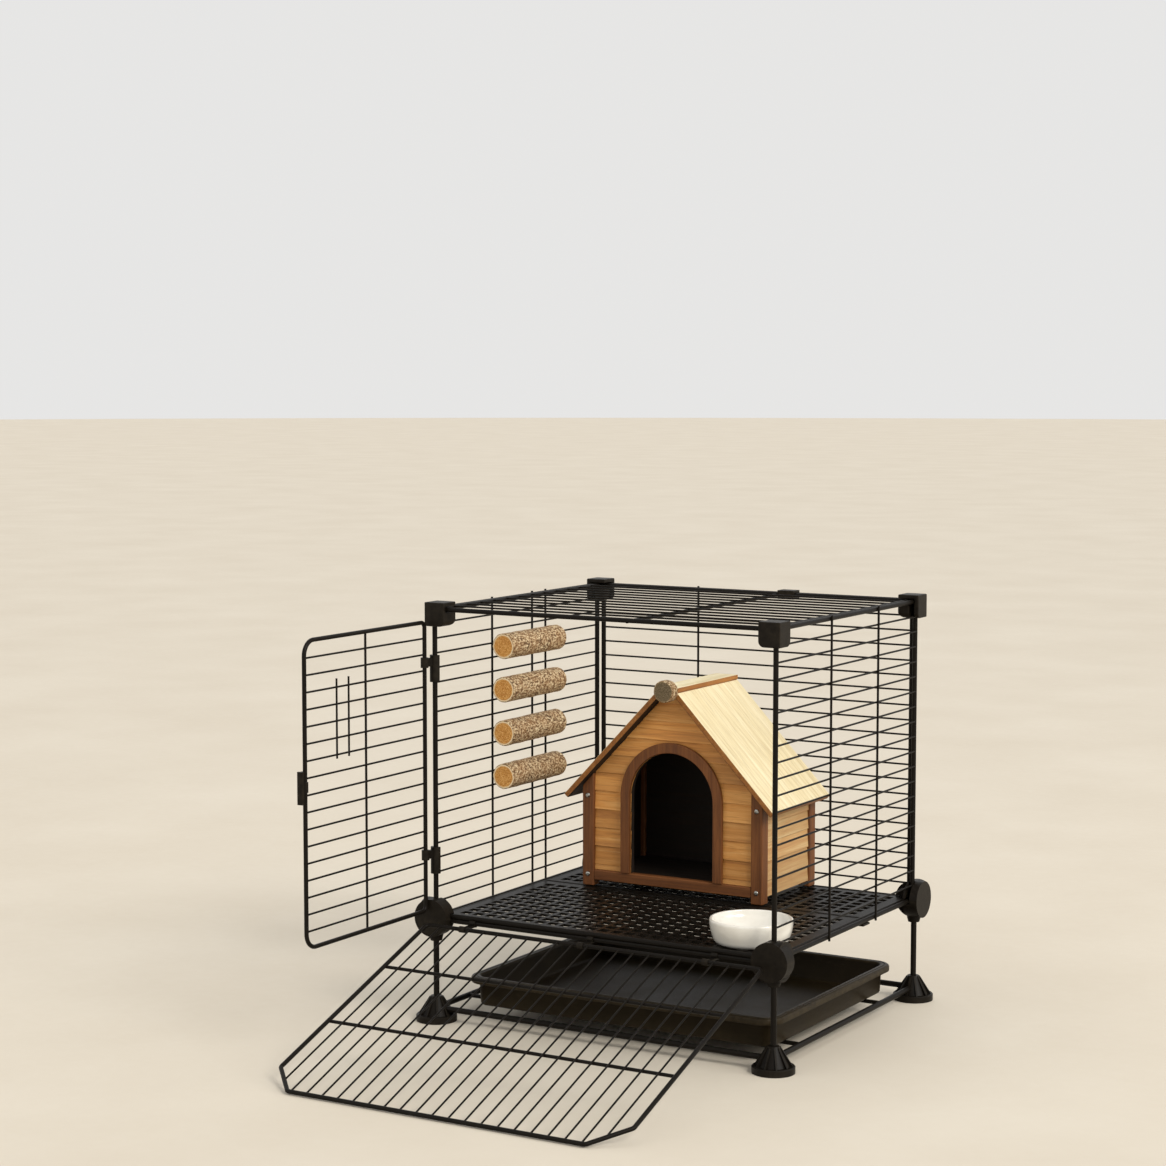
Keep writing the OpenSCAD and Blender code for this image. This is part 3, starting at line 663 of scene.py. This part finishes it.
# ---- log fasteners ----
def wing_nuts():
    """Turned hubs, each with two flat wings. A wing's points are (distance from the hub's centre,
    distance along the stud from wing_at)."""
    plate_t, stud_drop, wing_at = 0.0018, 0.005, 0.002
    low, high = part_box("log_wing_nuts")
    bm = bmesh.new()
    hub_profile = [
        (0, 0), (0.0034, 0), (0.0042, 0.0008), (0.0045, 0.0032), (0.0045, 0.004), (0, 0.004),
    ]
    wing = [
        (0.003, 0.0), (0.0055, -0.0022), (0.0095, -0.0026), (0.0118, -0.001), (0.0118, 0.0014),
        (0.0095, 0.0026), (0.0055, 0.0022),
    ]
    for number in range(1, 5):
        box_low, box_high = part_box(f"chew_log_{number}")
        z = (box_low.z + box_high.z) / 2 - stud_drop
        hub = Vector((low.x, (low.y + high.y) / 2, z))
        lathe(bm, hub_profile, hub, Vector((1, 0, 0)), 28)
        for side in (-1, 1):
            rim = [(hub.x + wing_at + dx, z + side * out) for out, dx in wing]
            plate = prism(rim, 1, hub.y - plate_t / 2, hub.y + plate_t / 2)
            spare = bpy.data.meshes.new("wing")
            plate.to_mesh(spare)
            plate.free()
            bm.from_mesh(spare)
            bpy.data.meshes.remove(spare)
    bmesh.ops.recalc_face_normals(bm, faces=bm.faces)
    piece("log_wing_nuts_turned", bm, [ZINC], "zinc", "log_wing_nuts")


wing_nuts()


# ---- house ----
def gable(node):
    """Outline of a gable wall in X and Z, read from its CAD node."""
    low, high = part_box(node)
    middle = (low.x + high.x) / 2
    points = [v.co for v in NODES[node].data.vertices]
    shoulder = max(p.z for p in points if p.x > high.x - HAIR)
    flat = max(p.x for p in points if p.z > high.z - HAIR) - middle
    return [
        (low.x, low.z), (high.x, low.z), (high.x, shoulder), (middle + flat, high.z),
        (middle - flat, high.z), (low.x, shoulder),
    ]


def laps(z0, z1, back, front):
    """Side view of lapped planks as (depth, z) points, the first at the top of the back.

    Each plank leans out towards its lower edge, and none is thinner than sliver."""
    out = 1 if front > back else -1
    step, lip, sliver, most_planks = 0.0017, 0.0006, 0.002, 12
    first = PLANK_SEAM - PLANK_H * math.floor((PLANK_SEAM - z0) / PLANK_H)
    seams = [first + PLANK_H * i for i in range(most_planks)]
    edges = [z0] + [s for s in seams if z0 + sliver < s < z1 - sliver] + [z1]
    outline = [(back, z1), (back, z0)]
    for low, high in zip(edges, edges[1:]):
        lean = step * (high - low) / PLANK_H
        outline += [(front - out * lip, low), (front, low + lip), (front - out * lean, high)]
    return outline


def facing(bm, inward, hole=None):
    """Gives the faces that look into the house, or into the doorway, their own material: the
    near-black wood that paints the shade inside the house.

    hole is the doorway's (middle, half width, top)."""
    for face in bm.faces:
        inside = face.normal.dot(inward) > 0.9
        if hole and abs(face.normal.y) < 0.3:
            middle, half, top = hole
            at = face.calc_center_median()
            inside = inside or (abs(at.x - middle) < half and at.z < top)
        face.material_index = 1 if inside else 0


def gable_walls():
    """The front wall with its arched doorway, and the rear wall.

    past is how far a cutting shape reaches beyond what it cuts."""
    low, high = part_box("house_front_wall")
    trim_low, trim_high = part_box("house_arch_trim")
    past, arch_steps = 0.01, 56
    middle = (trim_low.x + trim_high.x) / 2
    points = [v.co for v in NODES["house_front_wall"].data.vertices]
    foot = [p.x - middle for p in points if p.z < low.z + HAIR]
    half = min(x for x in foot if x > 0)
    spring = trim_high.z - (trim_high.x - trim_low.x) / 2
    arch = [(middle - half, low.z - past), (middle + half, low.z - past)]
    arch += [
        (middle + half * math.cos(a), spring + half * math.sin(a))
        for a in (math.pi * i / arch_steps for i in range(arch_steps + 1))
    ]
    planks = prism(laps(low.z, high.z, high.y, low.y), 0, low.x - past, high.x + past)
    outline = prism(gable("house_front_wall"), 1, low.y - past, high.y + past)
    wall = carve(planks, outline, "INTERSECT")
    wall = carve(wall, prism(arch, 1, low.y - past, high.y + past), "DIFFERENCE")
    # The inner faces and the doorway's sides take the near-black wood: painted shade.
    facing(wall, Vector((0, 1, 0)), (middle, half + HAIR, spring + half + HAIR))
    piece("house_front_planks", wall, [HONEY, INSIDE_PAINTED_SHADE], "house_plank", "house_front_wall", sharp=25)
    low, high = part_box("house_rear_wall")
    planks = prism(laps(low.z, high.z, low.y, high.y), 0, low.x - past, high.x + past)
    outline = prism(gable("house_rear_wall"), 1, low.y - past, high.y + past)
    wall = carve(planks, outline, "INTERSECT")
    # The inner faces take the near-black wood: painted shade.
    facing(wall, Vector((0, -1, 0)))
    piece("house_rear_planks", wall, [HONEY, INSIDE_PAINTED_SHADE], "house_plank", "house_rear_wall", sharp=25)


def side_walls():
    """Side walls whose tops rise inwards, as the roof does."""
    for side, out in (("left", -1), ("right", 1)):
        node = f"house_{side}_wall"
        low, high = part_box(node)
        back, front = (high.x, low.x) if out < 0 else (low.x, high.x)
        eave = max(v.co.z for v in NODES[node].data.vertices if abs(v.co.x - front) < HAIR)
        outline = laps(low.z, eave, back, front)
        outline[0] = (back, high.z)
        wall = prism(outline, 1, low.y, high.y)
        # The inner faces take the near-black wood: painted shade.
        facing(wall, Vector((-out, 0, 0)))
        piece(f"house_{side}_planks", wall, [SIDING, INSIDE_PAINTED_SHADE], "pale_pine", node, sharp=25)


def roof():
    """Roof boards, pale above, with brown edges, and near-black below: painted shade under the roof.
    """
    low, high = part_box("house_roof_right")
    slope = math.atan2(high.z - low.z, high.x - low.x)
    for side, out in (("left", -1), ("right", 1)):
        face_up = Vector((out * math.sin(slope), 0, math.cos(slope)))

        def pick(normal, face_up=face_up):
            lean = normal.dot(face_up)
            # Faces that look down take the near-black wood, which paints the shade under the roof.
            return 0 if lean > 0.9 else 2 if lean < -0.9 else 1

        soften(f"house_roof_{side}", 0.0012, [ROOFING, EDGING, INSIDE_PAINTED_SHADE], "pale_pine", pick)
    soften("house_ridge_board", 0.001, [RIDGE, EDGING], "pale_pine",
           lambda normal: 0 if normal.z > 0.9 else 1)


def screws():
    """Pan-head screws, each with a round recess in the middle."""
    low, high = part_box("house_screws")
    radius = 0.003
    dome = high.y - low.y
    profile = [
        (0, 0), (radius * 0.98, 0), (radius, dome * 0.3), (radius * 0.9, dome * 0.68),
        (radius * 0.6, dome * 0.93), (radius * 0.34, dome), (radius * 0.3, dome * 0.6),
        (0, dome * 0.35),
    ]
    bm = bmesh.new()
    for x in (low.x + radius, high.x - radius):
        for z in (low.z + radius, high.z - radius):
            lathe(bm, profile, Vector((x, high.y, z)), Vector((0, -1, 0)), 28)
    bmesh.ops.recalc_face_normals(bm, faces=bm.faces)
    piece("house_screw_heads", bm, [ZINC], "zinc", "house_screws")


gable_walls()
side_walls()
roof()
screws()
for posts in ("house_front_posts", "house_rear_posts"):
    soften(posts, 0.0016, [TRIM], "dark_trim")
soften("house_front_sill", 0.0012, [SILL], "dark_trim")
soften("house_arch_trim", 0.0008, [TRIM], "dark_trim")
# The house's floor takes the near-black wood as well: painted shade inside the house.
soften("house_floor", 0.0008, [INSIDE_PAINTED_SHADE], "dark_trim")


# ---- bowl ----
def bowl():
    """A turned bowl: foot ring, flared wall, rounded lip and dished inside, as (radius, z)."""
    low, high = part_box("bowl")
    r = (high.x - low.x) / 2
    h = high.z - low.z
    flare, wall_foot, lip_r, wall_t = 0.0052, 0.0032, 0.0018, 0.0038
    wall_rise, dish_depth = h - 0.0062, h - 0.0074
    wall_steps, lip_steps, inside_steps = 11, 8, 13
    outside = [
        (0.0, 0.0012), (r - 0.014, 0.0012), (r - 0.0125, 0.0), (r - 0.009, 0.0),
        (r - 0.0072, 0.0012), (r - flare, wall_foot),
    ]
    for i in range(1, wall_steps + 1):
        t = i / wall_steps
        outside.append((r - flare + flare * math.sin(t * math.pi / 2), wall_foot + wall_rise * t))
    lip = [
        (r - lip_r + lip_r * math.cos(a), h - lip_r + lip_r * math.sin(a))
        for a in (math.pi * i / lip_steps for i in range(1, lip_steps + 1))
    ]
    inside = []
    for i in range(1, inside_steps + 1):
        a = i / inside_steps * math.pi / 2
        inside.append((r - wall_t - (r - wall_t) * (1 - math.cos(a)) ** 0.9,
                       h - 0.0022 - dish_depth * math.sin(a) ** 0.9))
    inside[-1] = (0.0, inside[-1][1])
    bm = bmesh.new()
    foot = Vector(((low.x + high.x) / 2, (low.y + high.y) / 2, low.z))
    lathe(bm, outside + lip + inside, foot, UP, 112)
    bmesh.ops.recalc_face_normals(bm, faces=bm.faces)
    piece("bowl_glazed", bm, [GLAZE], "white_glaze", "bowl", sharp=60)


bowl()


# ---- stage, light and camera ----
def stage():
    """A wide plain floor."""
    bm = bmesh.new()
    bmesh.ops.create_circle(bm, cap_ends=True, segments=96, radius=30)
    mesh = bpy.data.meshes.new("studio_floor")
    bm.to_mesh(mesh)
    bm.free()
    mesh.materials.append(studio_floor())
    floor = bpy.data.objects.new("studio_floor", mesh)
    bpy.context.scene.collection.objects.link(floor)


def light(name, kind, place, power, tint, **settings):
    """Adds a light that looks at the hutch's middle."""
    target = Vector((0, 0, 0.25))
    data = bpy.data.lights.new(name, kind)
    data.energy = power
    data.color = tint
    for key, value in settings.items():
        setattr(data, key, value)
    lamp = bpy.data.objects.new(name, data)
    lamp.location = place
    lamp.rotation_euler = (target - Vector(place)).to_track_quat("-Z", "Y").to_euler()
    bpy.context.scene.collection.objects.link(lamp)


def studio():
    light("key", "SUN", (2.6, -1.0, 2.3), 2.1, (1.0, 0.965, 0.91), angle=math.radians(24))
    light("side", "AREA", (3.6, 0.6, 1.9), 30, (1.0, 0.98, 0.95), size=1.6)
    light("fill", "AREA", (-2.0, -2.4, 1.5), 6, (0.97, 0.98, 1.0), size=2.2)
    world = bpy.data.worlds.new("studio")
    world.use_nodes = True
    sky = world.node_tree.nodes["Background"]
    sky.inputs["Color"].default_value = (0.97, 0.965, 0.955, 1)
    sky.inputs["Strength"].default_value = 0.82
    bpy.context.scene.world = world
    bpy.context.scene.view_settings.view_transform = "Standard"


def camera():
    """A camera at the photograph's angle: in front, to the right and above the hutch."""
    place, degrees_down, degrees_turned = (1.4911, -2.57836, 0.7947), 5.01, 30.69
    data = bpy.data.cameras.new("camera")
    data.sensor_width = 36
    data.lens = 80.43
    eye = bpy.data.objects.new("camera", data)
    eye.location = place
    eye.rotation_euler = (math.radians(90 - degrees_down), 0, math.radians(degrees_turned))
    bpy.context.scene.collection.objects.link(eye)
    bpy.context.scene.camera = eye


stage()
studio()
camera()
bpy.context.view_layer.update()
